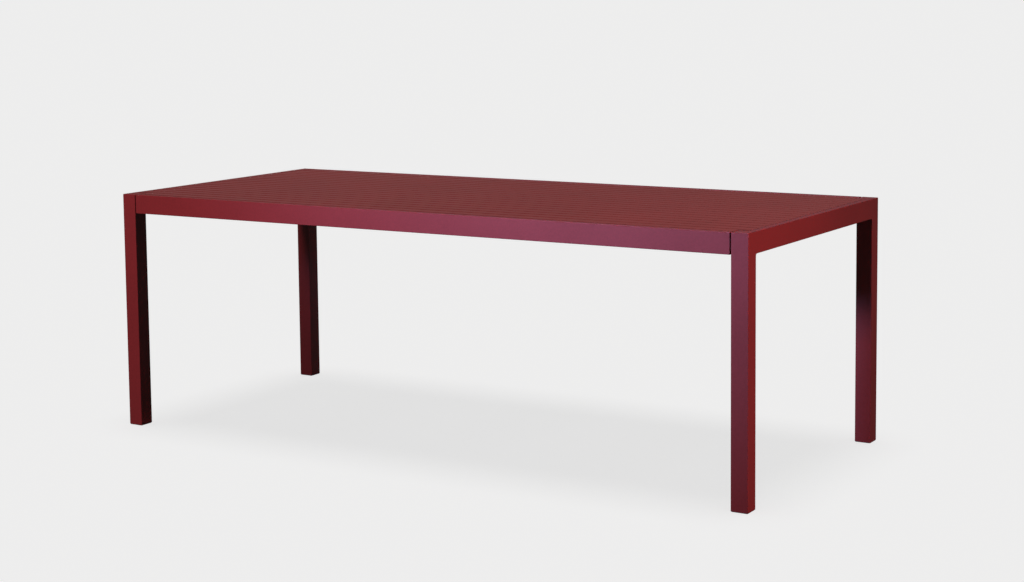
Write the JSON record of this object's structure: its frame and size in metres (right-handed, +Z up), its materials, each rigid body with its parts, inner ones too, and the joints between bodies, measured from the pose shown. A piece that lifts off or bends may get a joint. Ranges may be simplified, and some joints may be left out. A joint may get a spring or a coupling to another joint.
{
  "type": "outdoor dining table",
  "caption": "Rectangular outdoor dining table with a flush slatted top, square corner legs, narrow shadow gaps between the side rails and the legs, and levelling feet.",
  "frame": {"origin": "on the floor, at the centre of the table", "axes": "+X along the length to the right in the picture, +Y across the width to the back, +Z up"},
  "size_m": [2.18, 0.95, 0.75],
  "materials": {
    "powder_coat": "wine-red fine-textured matt powder coat on aluminium",
    "stainless_steel": "plain stainless steel",
    "black_nylon": "black moulded nylon, slightly rough"
  },
  "bodies": {
    "table": {"leg_front_left": "powder_coat", "leg_front_right": "powder_coat", "leg_back_left": "powder_coat", "leg_back_right": "powder_coat", "leg_cap_front_left": "powder_coat", "leg_cap_front_right": "powder_coat", "leg_cap_back_left": "powder_coat", "leg_cap_back_right": "powder_coat", "end_rail_left": "powder_coat", "end_rail_right": "powder_coat", "end_welds_left": "powder_coat", "end_welds_right": "powder_coat", "side_rail_front": "powder_coat", "side_rail_back": "powder_coat", "joining_tongue_front_left": "powder_coat", "joining_tongue_front_right": "powder_coat", "joining_tongue_back_left": "powder_coat", "joining_tongue_back_right": "powder_coat", "slat_01": "powder_coat", "slat_02": "powder_coat", "slat_03": "powder_coat", "slat_04": "powder_coat", "slat_05": "powder_coat", "slat_06": "powder_coat", "slat_07": "powder_coat", "slat_08": "powder_coat", "slat_09": "powder_coat", "slat_10": "powder_coat", "slat_11": "powder_coat", "slat_12": "powder_coat", "slat_13": "powder_coat", "slat_14": "powder_coat", "slat_15": "powder_coat", "slat_16": "powder_coat", "slat_17": "powder_coat", "slat_18": "powder_coat", "slat_19": "powder_coat", "bearer_1": "powder_coat", "bearer_2": "powder_coat", "bearer_3": "powder_coat", "bearer_end_plates": "powder_coat", "ledge_left": "powder_coat", "ledge_right": "powder_coat", "corner_bolts": "stainless_steel", "slat_screws": "stainless_steel", "frame_screws": "stainless_steel", "foot_nuts": "stainless_steel", "slat_plugs_left": "black_nylon", "slat_plugs_right": "black_nylon", "foot_plug_front_left": "black_nylon", "foot_plug_front_right": "black_nylon", "foot_plug_back_left": "black_nylon", "foot_plug_back_right": "black_nylon"},
    "levelling_foot_front_left": {"levelling_foot_front_left": "black_nylon"},
    "levelling_foot_front_right": {"levelling_foot_front_right": "black_nylon"},
    "levelling_foot_back_left": {"levelling_foot_back_left": "black_nylon"},
    "levelling_foot_back_right": {"levelling_foot_back_right": "black_nylon"}
  },
  "joints": [
    {"name": "level_front_left", "type": "slide", "parent": "table", "child": "levelling_foot_front_left", "axis": [0, 0, -1], "range_m": [0, 0.012]},
    {"name": "level_front_right", "type": "slide", "parent": "table", "child": "levelling_foot_front_right", "axis": [0, 0, -1], "range_m": [0, 0.012]},
    {"name": "level_back_left", "type": "slide", "parent": "table", "child": "levelling_foot_back_left", "axis": [0, 0, -1], "range_m": [0, 0.012]},
    {"name": "level_back_right", "type": "slide", "parent": "table", "child": "levelling_foot_back_right", "axis": [0, 0, -1], "range_m": [0, 0.012]}
  ]
}
